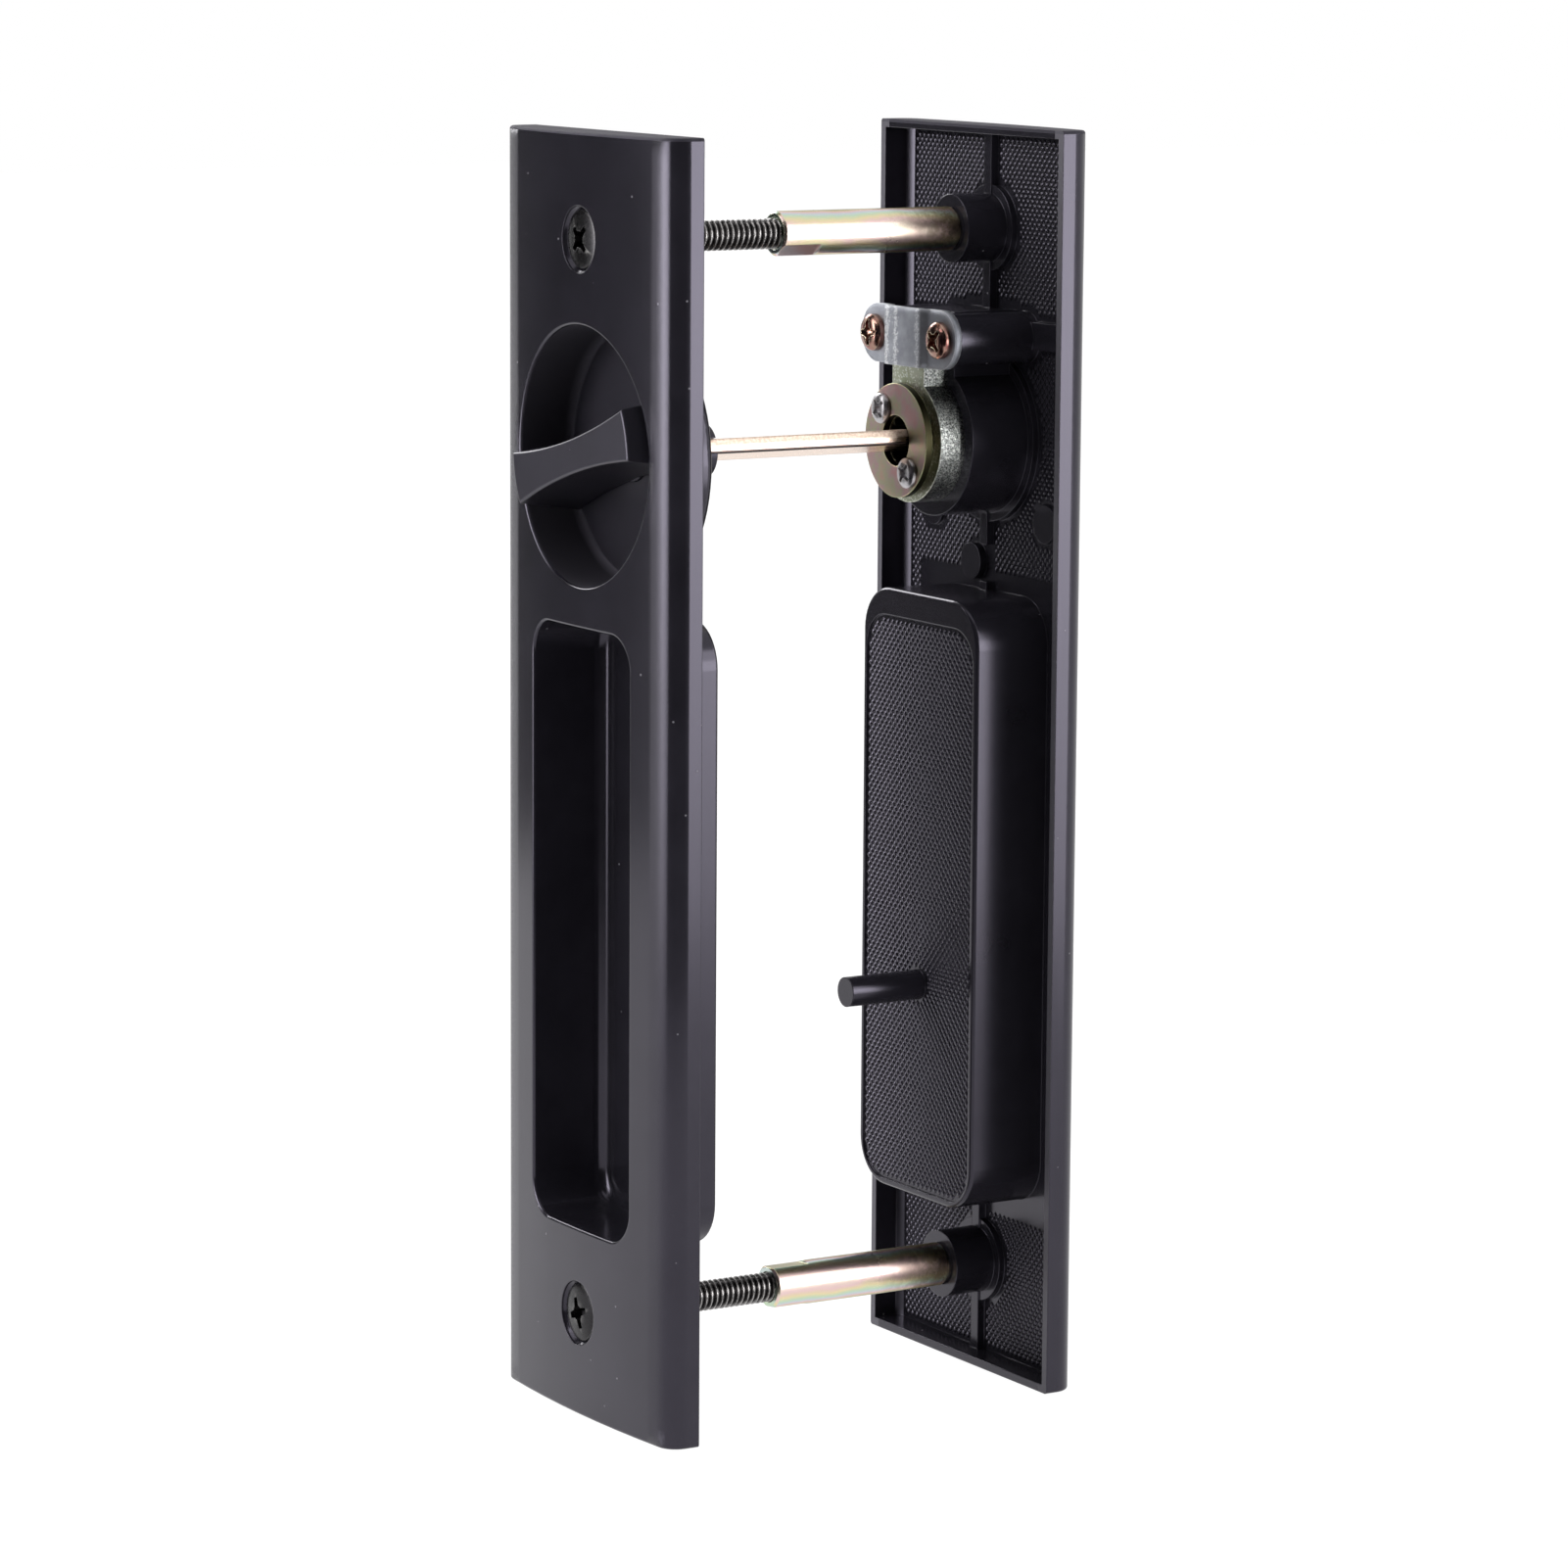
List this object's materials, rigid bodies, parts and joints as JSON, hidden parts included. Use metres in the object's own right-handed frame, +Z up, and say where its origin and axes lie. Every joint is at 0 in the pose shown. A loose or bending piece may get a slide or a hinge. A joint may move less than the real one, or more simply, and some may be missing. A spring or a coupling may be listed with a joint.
{
  "type": "sliding patio door handle",
  "caption": "Two flush cast plates with finger pockets, one with a thumb-turn in a round cup, one with a lock cylinder, joined by through screws, threaded sleeves and a flat spindle.",
  "frame": {"origin": "under the middle of the set, on the surface that the plates stand on", "axes": "+X across the plates, +Y through the door from the thumb-turn side to the key side, +Z up along the plates"},
  "size_m": [0.044, 0.0666, 0.166],
  "materials": {
    "black_coat": "satin black coat on die-cast zinc",
    "black_steel": "black nickel plated steel",
    "yellow_zinc": "yellow passivated zinc plate on steel",
    "bright_steel": "plain zinc plated steel",
    "copper_plate": "copper toned plate",
    "cast_zinc": "bare die-cast zinc",
    "brass": "turned"
  },
  "bodies": {
    "handle_set": {"front_plate": "black_coat", "rear_plate": "black_coat", "plate_screw_upper": "black_steel", "plate_screw_lower": "black_steel", "sleeve_upper": "yellow_zinc", "sleeve_lower": "yellow_zinc", "cylinder_body": "cast_zinc", "clamp_strap": "bright_steel", "clamp_screw_left": "copper_plate", "clamp_screw_right": "copper_plate", "pin_cover": "brass", "driver_pin_1": "brass", "driver_pin_2": "brass", "driver_pin_3": "brass", "driver_pin_4": "brass", "pin_spring_1": "bright_steel", "pin_spring_2": "bright_steel", "pin_spring_3": "bright_steel", "pin_spring_4": "bright_steel"},
    "thumb_turn": {"thumb_knob": "black_coat", "spindle_blade": "yellow_zinc", "spindle_pin": "bright_steel", "flat_washer": "bright_steel", "spring_washer": "bright_steel", "retaining_clip": "bright_steel"},
    "plug": {"cylinder_plug": "cast_zinc", "retainer_disc": "copper_plate", "disc_screw_upper": "bright_steel", "disc_screw_lower": "bright_steel", "key_pin_1": "brass", "key_pin_2": "brass", "key_pin_3": "brass", "key_pin_4": "brass"}
  },
  "joints": [
    {"name": "thumb_turn_hinge", "type": "hinge", "parent": "handle_set", "child": "thumb_turn", "pos_m": [0, -0.03195, 0.125], "axis": [0, -1, 0], "range_deg": [-15.5, 74.5]},
    {"name": "plug_hinge", "type": "hinge", "parent": "handle_set", "child": "plug", "pos_m": [0, 0.03225, 0.125], "axis": [0, -1, 0], "range_deg": [-19, 19]}
  ]
}
